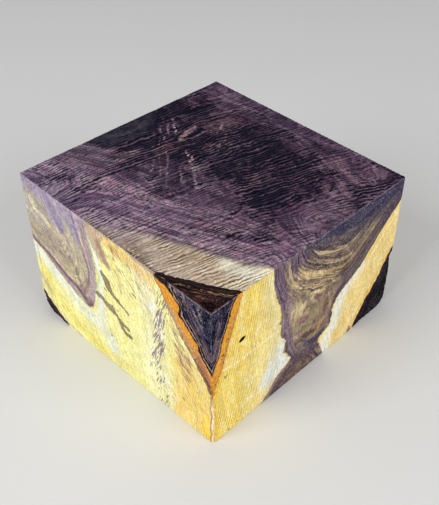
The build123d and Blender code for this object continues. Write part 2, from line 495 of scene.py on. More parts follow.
paint("top", "figure",
      (0.62, 4, 16, 1, (106, 102), (104, 80), (98, 66), (96, 54), (102, 46), (114, 40), (138, 33), (148, 40),
       (160, 46), (168, 62), (169, 84), (174, 104), (172, 130), (158, 134), (138, 140), (118, 146),
       (100, 144), (96, 130), (110, 116), (106, 102)),
      (0.62, 2, 14, 1, (60, 156), (60, 148), (80, 146), (112, 148), (128, 144), (140, 148), (146, 160),
       (158, 160), (168, 172), (154, 186), (170, 206), (132, 206), (124, 190), (112, 180), (84, 178),
       (76, 170), (88, 164), (74, 156), (60, 156)),
      (0.42, 8, 16, 0.8, (50, 113), (70, 108), (92, 106)),
      (0.3, 12, 20, 0.6, (186, 60), (188, 110), (184, 150)),
      (0.35, 6, 12, 0.8, (20, 153), (44, 155), (60, 157)),
      (0.4, 5, 10, 0.8, (10, 182), (22, 172)),
      (0.45, 8, 14, 0.7, (70, 126), (84, 122)),
      (0.35, 4, 10, 0.8, (64, 38), (74, 27), (88, 35), (102, 36)),
      (0.62, 5, 9, 0.9, (150, 0), (168, 10), (186, 4), (208, 0)),
      (0.6, 7, 12, 0.9, (170, 208), (176, 190), (170, 172)),
      (0.78, 5, 9, 0.8, (102, 104), (128, 104), (160, 100), (172, 104)),
      (0.76, 5, 10, 0.8, (108, 56), (126, 52), (142, 58), (166, 66)),
      (0.84, 4, 10, 0.8, (134, 92), (152, 92), (164, 96)),
      (0.8, 3, 8, 0.9, (183, 114), (186, 104), (183, 94)),
      (0.5, 3, 8, 0.8, (160, 158), (170, 154)),
      (0.95, 4, 6, 0.9, (206, 8), (206, 15)),
      (0.75, 3, 7, 0.8, (151, 156), (160, 156)),
      (0.6, 4, 7, 0.8, (91, 46), (99, 44)),
      (0.35, 3, 7, 0.8, (108, 76), (120, 74)),
      (0.9, 3, 7, 0.9, (180, 106), (190, 104)),
      (0.45, 5, 8, 0.8, (84, 108), (86, 96)),
      (0.8, 4, 9, 0.8, (122, 188), (140, 186), (160, 170)),
      (0.8, 4, 9, 0.8, (104, 136), (118, 134), (130, 136)),
      (0.8, 4, 9, 0.8, (154, 126), (166, 124)),
      (0.8, 3, 7, 0.8, (72, 172), (88, 171), (102, 172)),
      (0.6, 3, 8, 0.8, (62, 158), (72, 156)),
      (0.42, 4, 8, 0.9, (82, 155), (90, 155)),
      (0.1, 3, 8, 0.8, (84, 86), (96, 84), (106, 88)),
      (0.1, 2.5, 7, 0.8, (58, 136), (74, 131), (86, 126)),
      (0.15, 4, 9, 0.9, (148, 142), (156, 148), (166, 146)),
      (0.3, 3, 7, 0.8, (124, 132), (136, 126), (144, 122)),
      (0.3, 2.5, 7, 0.8, (176, 76), (178, 92)),
      (0.7, 4, 8, 0.8, (172, 60), (176, 68)),
      (0.25, 3, 8, 0.8, (94, 116), (104, 117), (116, 112)),
      (0.8, 3, 7, 0.9, (80, 115), (89, 114)),
      (0.25, 2.5, 6, 0.7, (66, 100), (78, 96)),
      (0.35, 2.5, 7, 0.8, (104, 72), (120, 76), (130, 74)),
      (0.3, 2.5, 7, 0.8, (118, 168), (126, 176), (130, 166)),
      (0.7, 2, 5, 0.7, (70, 53), (82, 58), (92, 61)),
      (0.5, 2, 5, 0.5, (62, 44), (76, 24), (88, 4)),
      (0.6, 3, 6, 0.7, (170, 42), (166, 24), (160, 8)),
      (0.7, 1.2, 3, 0.8, (176, 60), (168, 42), (158, 30), (150, 28)),
      (0, 0.5, 4, 1, (60, 204), (64, 191), (72, 182), (86, 177), (100, 176), (113, 179), (123, 188),
       (130, 204), (60, 204)),
      (0, 3.0, 4, 0.95, (120, 153), (128, 155), (138, 158)),
      (0.8, 3, 5, 0.9, (108, 156), (116, 158)))
# fibres that the saw tore up, which catch the light round the knot
for strength, reach, *fibres in (
    (0.8, 0.4, ((116, 164), (120, 170)), ((108, 161), (111, 164)), ((125, 168), (128, 172)),
     ((114, 171), (117, 175))),
    (0.8, 0.3, ((123, 166), (130, 173))),
    (0.7, 0.3, ((112, 168), (117, 174)), ((121, 171), (127, 176)), ((104, 122), (107, 128)),
     ((106, 130), (109, 137)), ((121, 162), (124, 165))),
    (0.6, 0.3, ((131, 176), (133, 179)), ((118, 159), (127, 161)), ((134, 159), (138, 157)),
     ((74, 128), (82, 136))),
    (0.5, 0.3, ((150, 141), (158, 144))),
    (0.5, 0.2, ((84, 140), (90, 146)), ((78, 95), (90, 106), (102, 124)), ((92, 112), (104, 127)),
     ((80, 112), (92, 125))),
    (0.4, 0.2, ((70, 134), (80, 140)), ((62, 124), (76, 128)), ((84, 100), (97, 116)),
     ((86, 132), (95, 141)), ((76, 138), (84, 147)), ((128, 120), (140, 131)),
     ((74, 122), (88, 134), (98, 146)), ((142, 126), (150, 134)), ((100, 158), (108, 166))),
    (0.3, 0.2, ((66, 112), (80, 126))),
):
    for fibre in fibres:
        paint("top", "heartwood", ((206, 190, 192), reach, 1.2, strength, *fibre))
        paint("top", "figure", (0, 0.4 + reach, 1.3, strength, *fibre))

# right face: golden sapwood, cream beside the heartwood, and heartwood in purple and olive
paint("right", "sapwood",
      ((236, 217, 136), 300, 1, 1, (100, 60), (110, 60)),
      ((240, 216, 114), 10, 12, 0.9, (18, 4), (20, 50), (30, 90), (38, 122)),
      ((236, 202, 88), 5, 10, 1, (2, -4), (3, 50), (11, 80), (20, 112)),
      ((236, 180, 62), 1.5, 4, 0.5, (3, 52), (12, 76), (22, 104)),
      ((233, 222, 164), 5, 10, 1, (54, 127), (56, 100), (61, 76), (62, 56), (58, 40)),
      ((224, 226, 212), 1, 13, 1, (72, 60), (74, 46), (73, 38), (80, 27), (79, 22), (70, 19), (60, 14),
       (50, 18), (50, 26), (58, 38), (64, 48), (72, 60)),
      ((216, 186, 160), 2, 5, 0.6, (42, 1), (54, 8), (62, 16)),
      ((122, 106, 110), 1.6, 2, 1, (51, -1), (57, 4.5), (63, 10.5)),
      ((238, 214, 142), 0, 6, 1, (210, 110), (160, 66), (134, 52), (130, 30), (112, 20), (120, -4),
       (170, -4), (210, 56), (210, 110)),
      ((238, 238, 220), 6, 9, 1, (160, 68), (142, 54), (136, 40), (133, 26), (124, 12), (124, -2)),
      ((236, 186, 96), 2, 5, 0.85, (208, 64), (194, 50), (178, 30), (166, 14), (160, -2)),
      ((118, 84, 62), 0.5, 1.2, 1, (153, -1), (156, 6), (159, -1), (153, -1)),
      ((252, 248, 224), 0.5, 1.4, 0.9, (9, 67), (30, 66), (66, 65)),
      ((252, 249, 230), 0.5, 1.4, 0.9, (34, 19), (46, 16.5)),
      # three small holes, painted dark as painted shade
      ((62, 46, 38), 0.8, 0.9, 1, (12.6, 60), (13.6, 60.6)),
      ((92, 66, 48), 0.5, 0.9, 1, (24, 2.5), (25, 3)),
      ((92, 66, 48), 0.5, 0.9, 1, (14, 2), (15, 2)),
      # worn front edge: its flat painted darker as painted shade, and a pale line, partly splintered wood and
      # partly painted highlight
      ((216, 180, 88), 2, 1.5, 0.8, (1, 46), (1, 0)),
      ((253, 242, 210), 0.4, 0.8, 1, (0, 48), (0, 0)))
for x, z, size in (
    (34, 92, 2.5), (36, 82, 1.5), (50, 90, 1), (18, 77, 1.5), (34, 62, 1.5), (24, 57, 2.5), (28, 101, 1.5),
    (33, 104, 2), (36, 96, 1.5), (25, 94, 1.5), (30, 58, 1.5), (12, 40, 2), (40, 44, 1.5), (26, 76, 1),
):
    paint("right", "sapwood", ((230, 162, 48), 0.7, 2.4, 0.8, (x, z - size), (x + 0.6, z + size)))
paint("right", "stain",
      (0.22, 1.5, 3, 1, (17, 98), (11, 80), (4, 60)))
paint("right", "heartwood",
      ((148, 131, 109), 200, 1, 1, (100, 60), (110, 60)),
      ((180, 160, 126), 1, 6, 1, (74, 108), (80, 100), (92, 88), (106, 81), (126, 76), (134, 84),
       (116, 92), (100, 98), (88, 106), (80, 114), (74, 108)),
      ((206, 188, 148), 4, 6, 0.95, (80, 104), (84, 97), (92, 90)),
      ((134, 116, 92), 6, 10, 0.9, (120, 84), (142, 82), (158, 92)),
      ((190, 170, 130), 4, 7, 0.95, (108, 78), (116, 74), (124, 76)),
      ((92, 79, 78), 5, 7, 0.9, (139, 74), (149, 76), (158, 79)),
      ((112, 98, 92), 5, 8, 0.9, (136, 98), (148, 92), (162, 98)),
      ((142, 124, 108), 4, 8, 0.8, (104, 102), (124, 98), (136, 94)),
      ((112, 96, 92), 3.5, 5, 0.85, (92, 107), (99, 104)),
      ((66, 63, 86), 14, 10, 1, (94, 134), (124, 128), (150, 124), (180, 120), (210, 122)),
      ((88, 80, 90), 5, 9, 0.9, (112, 110), (140, 106), (168, 108), (196, 110)),
      ((78, 72, 84), 5, 6, 0.9, (98, 121), (112, 114)),
      ((108, 92, 108), 6, 6, 0.95, (66, 130), (76, 122), (88, 116)),
      ((92, 80, 92), 4, 7, 0.8, (86, 122), (98, 116), (114, 112)),
      ((166, 142, 120), 1.2, 2.5, 0.9, (104, 112), (118, 108), (134, 101), (144, 91), (152, 81)),
      ((92, 80, 100), 4, 5, 0.95, (73, 122), (76, 114), (79, 107)),
      ((198, 178, 136), 1.2, 2.5, 0.9, (76, 110), (82, 101), (94, 91), (108, 85), (124, 80)),
      ((108, 94, 86), 5, 8, 0.9, (150, 76), (166, 88), (184, 100)),
      ((192, 174, 142), 6, 9, 0.95, (84, 72), (94, 70), (104, 74)),
      ((158, 142, 112), 4, 8, 0.7, (98, 68), (96, 56), (92, 48)),
      ((136, 104, 106), 3.5, 4, 1, (90, 57), (97, 56)),
      ((126, 98, 98), 2.5, 4, 1, (107, 71), (112, 68)),
      ((124, 100, 90), 5, 8, 0.8, (120, 66), (117, 52), (110, 44)),
      ((132, 128, 92), 3, 5, 0.7, (104, 66), (104, 52), (94, 48)),
      ((172, 152, 118), 1.2, 2, 1, (122, 64), (125, 52), (126, 44)),
      ((188, 158, 136), 1.4, 2.5, 0.8, (83, 63), (93, 66)),
      ((200, 170, 150), 0.9, 2, 0.9, (81, 45), (91, 43.5)),
      ((144, 118, 90), 2, 4, 1, (106, 32), (122, 38)),
      ((170, 138, 112), 0.9, 2, 0.8, (106, 40), (122, 41)),
      ((78, 63, 58), 3, 5, 0.8, (86, 37), (98, 37), (106, 36)),
      ((78, 71, 90), 3.5, 5, 1, (96, 30), (108, 25), (119, 27)),
      ((120, 105, 112), 3.5, 4, 1, (82, 29), (92, 29)),
      ((100, 84, 94), 4, 5, 1, (84, 23), (98, 20), (112, 16)),
      ((106, 88, 108), 6, 5, 1, (58, 130), (62, 112), (66, 98), (70, 88)),
      ((134, 116, 126), 4.5, 4, 1, (76, 86), (73, 68), (76, 56), (79, 44), (81, 36)),
      ((88, 72, 84), 1, 2.5, 1, (68, 80), (67, 70), (71, 58), (75, 46), (75, 38), (82, 27)),
      ((88, 76, 82), 7, 7, 0.9, (196, 106), (176, 90), (160, 77), (144, 68)),
      ((78, 64, 82), 3.5, 4, 1, (208, 112), (190, 99), (170, 82), (154, 70), (138, 61), (129, 48), (128, 34)),
      ((96, 79, 84), 1, 4, 1, (56, -2), (66, 10), (76, 17), (92, 19), (106, 14), (116, 4), (118, -2),
       (56, -2)),
      ((118, 100, 90), 0, 4, 1, (68, -2), (78, 9), (90, 13), (103, 10), (112, 0), (68, -2)),
      ((150, 131, 116), 0.5, 1.6, 0.8, (70, 3), (82, 13), (94, 15.5), (106, 10), (113, 1)),
      ((90, 72, 70), 2, 3, 0.8, (76, 1), (90, 5), (102, 1)))
paint("right", "figure",
      (1, 2, 8, 1, (72, 118), (76, 100), (92, 86), (110, 76), (134, 75), (152, 87), (180, 106), (160, 106),
       (130, 108), (100, 116), (84, 122), (72, 118)),
      (0.4, 6, 8, 1, (64, 124), (68, 104), (72, 84), (76, 60), (80, 40)),
      (0.5, 8, 10, 0.8, (92, 12), (80, 6), (104, 6)))

# left face: bright sapwood around a tongue of olive heartwood with a purple rim
paint("left", "sapwood",
      ((243, 240, 164), 300, 1, 1, (100, 60), (110, 60)),
      ((238, 236, 196), 9, 16, 0.85, (66, 118), (62, 98), (52, 74)),
      ((245, 244, 196), 8, 14, 0.8, (62, 60), (62, 30), (58, 4)),
      ((249, 249, 222), 4, 7, 0.7, (49, 92), (51, 60), (50, 24)),
      ((236, 242, 236), 2.5, 5, 0.8, (55, 98), (59, 92)),
      ((236, 234, 184), 5, 8, 0.8, (50, 56), (46, 30), (44, 6)),
      ((245, 235, 128), 8, 14, 0.8, (190, 40), (176, 26), (160, 16), (124, 8)),
      ((246, 226, 100), 3, 8, 0.8, (193, 57), (186, 46)),
      ((233, 238, 214), 7, 9, 1, (204, 70), (182, 60), (160, 50), (142, 38), (124, 36), (112, 28),
       (108, 20)),
      ((236, 241, 218), 5, 7, 1, (117, 74), (116, 58), (118, 44), (122, 36)),
      ((234, 240, 212), 2.5, 4, 1, (119, 124), (116, 108), (113, 92), (112, 78)),
      ((196, 218, 156), 0.7, 1.8, 1, (121, 116), (118, 98), (115, 84), (118, 74), (119, 66)),
      ((244, 218, 134), 1, 12, 0.9, (36, 60), (28, 74), (14, 62), (0, 50), (0, -4), (34, -4), (36, 60)),
      ((244, 218, 132), 0, 1.6, 0.8, (38, -4), (38, 30), (30, 32), (0, 32), (0, -4), (38, -4)),
      ((251, 212, 68), 4, 9, 0.95, (6, 22), (6, -2)),
      ((249, 224, 112), 4, 8, 0.6, (24, 56), (16, 34)),
      ((214, 172, 124), 1, 3, 0.5, (42, 108), (32, 86), (20, 70), (8, 56)),
      ((206, 176, 140), 1.5, 4, 0.75, (106, 131), (80, 130), (56, 128.5), (46, 127)),
      ((234, 196, 112), 5, 8, 0.7, (98, 125), (76, 122), (56, 119)),
      ((176, 150, 134), 3.5, 4, 0.85, (52, 127), (60, 128.5), (72, 130)),
      ((214, 182, 160), 1, 2.5, 0.8, (204, 30), (196, 22), (184, 12), (172, 5), (150, 1)),
      ((176, 158, 130), 3, 7, 0.6, (198, 40), (192, 32), (188, 26)),
      ((168, 156, 132), 0.6, 1.4, 0.8, (195, 72), (195, 44), (193, 34), (191, 28)),
      ((184, 136, 104), 0.8, 1.2, 0.9, (2.0, 48), (1.8, 20), (1.9, 0)),
      # pale line down the worn front edge, partly splintered wood and partly a painted highlight
      ((253, 243, 214), 0.7, 0.8, 1, (0.2, 48), (0.2, 0)),
      ((192, 168, 148), 0.5, 2.5, 0.9, (130, 140), (122, 126), (118, 116), (112, 106), (100, 102.5),
       (103, 112), (106, 122), (100, 132), (104, 140), (130, 140)),
      ((160, 132, 110), 2.6, 4, 0.8, (110, 120), (107, 109), (101, 103.5)),
      ((172, 146, 130), 0.6, 1.6, 0.7, (122, 124), (114, 107), (104, 103)))
paint("left", "stain",
      (1, 2.0, 1.4, 1, (110, 93), (107, 86), (104, 81), (100, 78), (95, 75.5)),
      (1, 3.0, 1.6, 1, (107, 90), (103, 82)),
      (1, 1.1, 1.2, 1, (97, 77), (92, 74), (84, 70)),
      (0.85, 3.0, 2.2, 1, (118, 68), (112, 65.5), (106, 63), (100, 60)),
      (0.9, 1.7, 1.2, 1, (106, 63), (98, 59), (92, 55), (86, 53)),
      (1, 2.0, 1.2, 1, (95, 55), (93, 50), (88, 47), (83, 46)),
      (0.8, 0.9, 1.2, 1, (104, 66), (96, 64)),
      (1, 0.9, 1, 1, (108.5, 79), (107.5, 78.5)),
      (0.9, 1.1, 1.2, 1, (76, 94), (74, 93)),
      (0.5, 1.6, 3, 1, (109, 33), (101, 32)),
      (0.35, 2, 6, 1, (104, 38), (104, 26)),
      (0.28, 1.2, 1.5, 1, (32, 94.5), (26, 85.5), (20, 78)),
      (0.4, 1.8, 1.4, 1, (14, 71), (9.5, 65.5), (5, 59), (1, 53)),
      (0.7, 1.4, 3, 1, (16, 73), (12, 66), (7, 60), (3, 53)),
      (0.4, 2.0, 4, 1, (192, 42), (190, 32)),
      (0.16, 2.0, 5, 1, (98, 128), (84, 127), (64, 127), (50, 125)))
paint("left", "fleck",
      (0.95, 6, 8, 1, (46, 108), (47, 98), (50, 82), (53, 60), (57, 34)),
      (1.15, 4, 7, 1, (48, 90), (50, 80), (51, 68), (50, 58)),
      (0.7, 7, 10, 1, (56, 36), (52, 18), (50, 2)))
paint("left", "dash",
      (0.9, 7, 9, 1, (36, 100), (30, 78), (25, 58), (22, 44)),
      (1.3, 2.4, 6, 1, (35, 82), (31, 70), (27, 58), (22, 46)),
      (0.4, 16, 16, 0.9, (34, 24), (12, 34)),
      (0.7, 3, 5, 1, (44, 116), (32, 92), (18, 72)),
      (0.8, 12, 14, 0.8, (98, 124), (78, 108), (66, 112), (60, 122)),
      (0.6, 9, 12, 0.8, (92, 98), (78, 86), (68, 100)),
      (0.4, 14, 20, 0.7, (190, 40), (160, 14), (120, 10)))
paint("left", "heartwood",
      ((192, 183, 160), 300, 1, 1, (150, 90), (160, 90)),
      ((206, 201, 182), 9, 12, 1, (204, 116), (192, 108), (182, 106)),
      ((204, 193, 168), 8, 12, 0.9, (152, 98), (162, 102)),
      ((184, 173, 152), 7, 12, 0.9, (196, 88), (172, 84), (158, 76)),
      ((168, 158, 184), 1, 3, 0.9, (204, 142), (204, 127), (192, 126), (184, 123), (176, 124), (171, 117),
       (165, 109), (157, 104), (153, 105), (150, 110), (151, 116), (147, 120), (142, 113), (136, 104),
       (134, 112), (132, 142), (204, 142)),
      ((186, 170, 186), 3, 6, 0.6, (158, 128), (150, 124)),
      ((150, 138, 166), 2, 4, 0.7, (166, 128), (162, 116), (156, 107)),
      ((186, 176, 170), 1, 2.5, 0.8, (152, 118), (149, 126)),
      ((178, 160, 168), 4, 4, 1, (128, 138), (126, 118), (124, 104), (122, 92), (122, 80), (124, 66),
       (129, 54)),
      ((208, 192, 202), 4, 6, 0.8, (142, 136), (132, 133)),
      ((202, 186, 180), 1, 2, 0.6, (136, 136), (132, 116), (127, 98), (125, 84)),
      ((134, 112, 130), 0.8, 1.6, 0.8, (139, 132), (134, 112), (129, 96), (127, 82), (128, 70)),
      ((160, 138, 140), 4, 4, 1, (128, 52), (134, 50), (140, 56)),
      ((122, 100, 106), 1.2, 2.5, 0.9, (134, 46), (129, 50)),
      ((178, 158, 162), 3.5, 3, 1, (204, 74), (184, 66), (164, 57), (148, 50)),
      ((124, 102, 120), 1.8, 2, 1, (204, 80), (190, 75), (178, 71), (166, 65), (154, 60), (144, 57),
       (136, 51)),
      ((212, 192, 160), 0.8, 2, 0.8, (190, 80), (172, 74), (156, 66), (146, 62)),
      ((140, 106, 106), 1.6, 2.5, 0.8, (136, 58), (132, 68), (130, 74)),
      ((150, 128, 112), 2, 3, 0.7, (150, 84), (144, 76), (141, 68), (140, 62)),
      ((122, 106, 100), 0.5, 1.4, 0.8, (200, 88), (188, 86.5), (177, 87)),
      ((204, 190, 138), 1.5, 3, 0.6, (166, 74), (154, 68), (146, 64)))
paint("left", "figure",
      (0.2, 20, 16, 1, (190, 100), (160, 90), (136, 80)),
      (0.7, 3, 8, 1, (150, 88), (143, 78), (140, 66)))

# inner bark: orange at the top, and soiled and flecked lower down
paint("left", "inner",
      ((38, 32, 42), 4.0, 1.6, 1, (36, 126), (46, 127.5), (54, 129)),
      ((212, 160, 100), 4, 7, 0.9, (30, 92), (22, 84), (14, 78), (6, 70)),
      ((202, 168, 128), 2.8, 1.6, 0.95, (40, 107), (34, 97.5), (28.5, 88.5), (21.5, 79.5), (13, 70)),
      ((168, 112, 84), 3, 4, 0.85, (12, 76), (7, 68), (2, 58)),
      ((206, 132, 92), 0.8, 1.6, 0.8, (16, 80), (10, 71), (4, 61)))
paint("right", "inner",
      ((204, 156, 78), 1.5, 3, 0.8, (23, 112), (18, 98), (14, 86), (10, 74)),
      ((228, 162, 72), 2, 4, 0.7, (8, 84), (4, 72), (2, 60)),
      ((224, 176, 84), 1, 3, 0.8, (6, 64), (3, 54)))
for (name, on_top), coat in coats.items():
    if coat.shape[1] == 3:
        keep(name + "_top" * on_top, np.hstack([coat, np.ones((len(point), 1))]), "FLOAT_COLOR")
    else:
        keep(name + "_top" * on_top, coat)




# Blank: its surface
# What the saw, the bark and the years left on it, all cut inwards from the plain block: ridges
# across the top, the pocket and the bark corners, the worn front edge and slightly soft arrises.
def fade(values, low, high):
    """0 up to low, 1 from high on, and smooth between."""
    t = np.clip((values - low) / (high - low), 0, 1)
    return t * t * (3 - 2 * t)


def rough(scale):
    """Even noise from -1 to 1 with blobs about as large as the scale, in millimetres."""
    return np.array([noise.noise(p / scale) for p in map(Vector, point)])


x, y, z = point.T
moved = point.copy()
is_top = z > top_height(x, y) - hair
in_bark = fade(-growth, 0, 2)

# how many saw strokes lie before each point: on the top they lean, bend from turn_at on, grow
# wider and waver more towards the right, and on the sides they stand nearly upright
turn_at, lean, bend, middle = 65, 0.10, 0.085, 120
top_pitch, wider, right_pitch, left_pitch = 2.75, 0.0045, 1.55, 1.7
bent = np.sqrt((x - turn_at) ** 2 + 400) + x - turn_at
waver = fade(x, 40, 90)
stroke_top = y - middle + lean * x + bend * bent + (0.5 + 1.5 * waver) * rough(19) + 0.4 * waver * rough(8)
stroke_top = stroke_top / (top_pitch + wider * x) + 60
stroke_top += 1.3 * np.array([noise.noise((s * 0.3, a / 60, 5)) for s, a in zip(stroke_top, x)])
keep("stroke_top", stroke_top)
fanned = 0.16 * z + 0.0013 * z * np.clip(x - 60, 0, None)
keep("stroke_right", (x + fanned + 0.3 * rough(12)) / right_pitch)
keep("stroke_left", (y - 0.06 * z + 0.4 * rough(15)) / left_pitch)
keep("stroke_far", (np.where(x > width - hair, y, x) + 0.1 * z + 0.4 * rough(15)) / left_pitch)

# where bark lies near the front corner, where it is reddish, and the rim along the top edges and
# the front arris, which the finishes paint lighter as a painted highlight
keep("front_bark", 1 - fade(x + y, 60, 100))
keep("reddish", fade(y - x, 0, 20))
keep("rim", np.maximum(fade(z - top_height(x, y), -1.8, -0.6), 0.5 * (x + y < 0.5)))

# ridges across the top, shallower over the smooth dark patch at the back edge
deepest_ridge, fuzz = 0.34, 0.10
ridge = 0.5 + 0.5 * np.sin(stroke_top * 2 * np.pi)
ridge_depth = deepest_ridge * (0.75 + 0.5 * rough(26)) * (1 - in_bark)
from_patch = np.hypot((x - 95) / 34, (y - 204) / 27)
ridge_depth *= 0.25 + 0.75 * fade(from_patch, 0.85, 1.1)
moved[:, 2] -= np.where(is_top, (1 - ridge) * ridge_depth + fuzz * (1 + rough(1.6)), 0)

# pocket in the bark: it starts at the wood's edge and is deepest at the front corner
bark_left, bark_right, rim, pocket_step, pocket_fall, pocket_run = 51.0, 26.0, 2.0, 1.2, 3.8, 17
from_wood = (1 - x / bark_right - y / bark_left) * bark_right * bark_left / np.hypot(bark_right, bark_left)
deep = pocket_step + pocket_fall * np.clip(from_wood / pocket_run, 0, 1)
deep += 0.8 * rough(3.0) * fade(from_wood, 1, 4)
deep *= fade(from_wood, -0.1, 0.9) * fade(x, rim - 0.9, rim + 0.7) * fade(y, rim - 0.9, rim + 0.7)
moved[:, 2] -= np.where(is_top, deep, 0)

# bark stands back from the sawn wood at the lower corners, and ends in its own round outside
set_back, low_bark, bark_reach = 1.0, 66, 48
for face, axis, ball, ball_size in (
    ("right", 1, (width - 17.6, 17.6, 17.6), 26.0),
    ("left", 0, (13.4, depth - 13.4, 13.4), 18.0),
):
    out = moved - ball
    inside = np.sign(np.array((width / 2, depth / 2, 70)) - ball)
    outward = -(out * inside)
    far = np.linalg.norm(out, axis=1)
    pull = np.where((outward > 0).all(axis=1) & (far > ball_size), ball_size / np.maximum(far, tiny), 1)
    moved = ball + out * pull[:, None]
    across = width - x if face == "right" else depth - y
    low = (z < low_bark) & (across < bark_reach) & (point[:, axis] < hair)
    back = set_back * (0.25 + fade(z, 36, 54)) + 0.35 * (1 + rough(4.0)) + 0.3 * rough(1.5)
    back *= fade(-growth - 10, -0.4, 1.2)
    moved[:, axis] = np.where(low, np.maximum(moved[:, axis], back), moved[:, axis])

# the beetle's hole, a slot a little longer than it is wide
turn = radians(hole["tilt"])
along, up = x - hole["along"], z - hole["up"]
u, v = along * np.cos(turn) + up * np.sin(turn), up * np.cos(turn) - along * np.sin(turn)
from_middle = np.hypot(u / hole["long"], v / hole["wide"]) * 2
in_hole = (y < hair) & (from_middle < 1)
moved[:, 1] += np.where(in_hole, hole["deep"] * (1 - from_middle**6), 0)
# where the finishes paint the hole near black, as painted shade, a little past its edge
keep("hole", np.where(y < hair, 1 - fade(from_middle, 1.1, 1.7), 0))

# worn front edge below the bark, with a flat about as wide as a match
worn_leg = 2.4
leg = worn_leg * (1 - fade(z, 50, 66)) + 0.5 * rough(7) * fade(60 - z, 0, 6)
moved[:, :2] += (np.clip(leg - moved[:, 0] - moved[:, 1], 0, None) / 2)[:, None]

# bark broken along its layers, and arrises that the saw left a little soft and splintered
layers = 0.5 + 0.5 * np.sin(growth * 2.4 + 2 * rough(5))
crumble = in_bark * (0.35 * np.abs(rough(1.7)) + 0.35 * layers)
soft = 0.18 + 0.16 * np.abs(rough(2.5)) + 0.5 * crumble
low_side = [x < hair, y < hair, z < hair]
high_side = [x > width - hair, y > depth - hair, is_top]
touching = sum(np.array(low_side + high_side, int))
for axis in range(3):
    inwards = np.where(low_side[axis], 1, 0) - np.where(high_side[axis], 1, 0)
    moved[:, axis] += inwards * np.where(touching > 1, soft, crumble * (0 if axis == 2 else 1))

# which finish each face of the mesh takes, from where it looked before it was shaped
looks = np.empty(len(mesh.polygons) * 3)
mesh.polygons.foreach_get("normal", looks)
looks = looks.reshape(-1, 3)
finish_of = np.select([looks[:, 2] > facing, looks[:, 1] < -facing, looks[:, 0] < -facing], [0, 1, 2], 3)

mesh.vertices.foreach_set("co", ((moved - (width / 2, depth / 2, 0)) * mm).ravel())
mesh.update()
bpy.ops.object.shade_smooth_by_angle(angle=radians(32))


# Blank: its finishes
# Bare sawn wood without oil or wax, so it is dull all over. Each finish reads the painted grounds,
# draws the grain along the growth lines over them, and adds the saw's strokes and the bark.
full_turn = 6.2832
inner_from, heart_from = -10, 30  # where on the growth lines' scale inner bark and heartwood begin


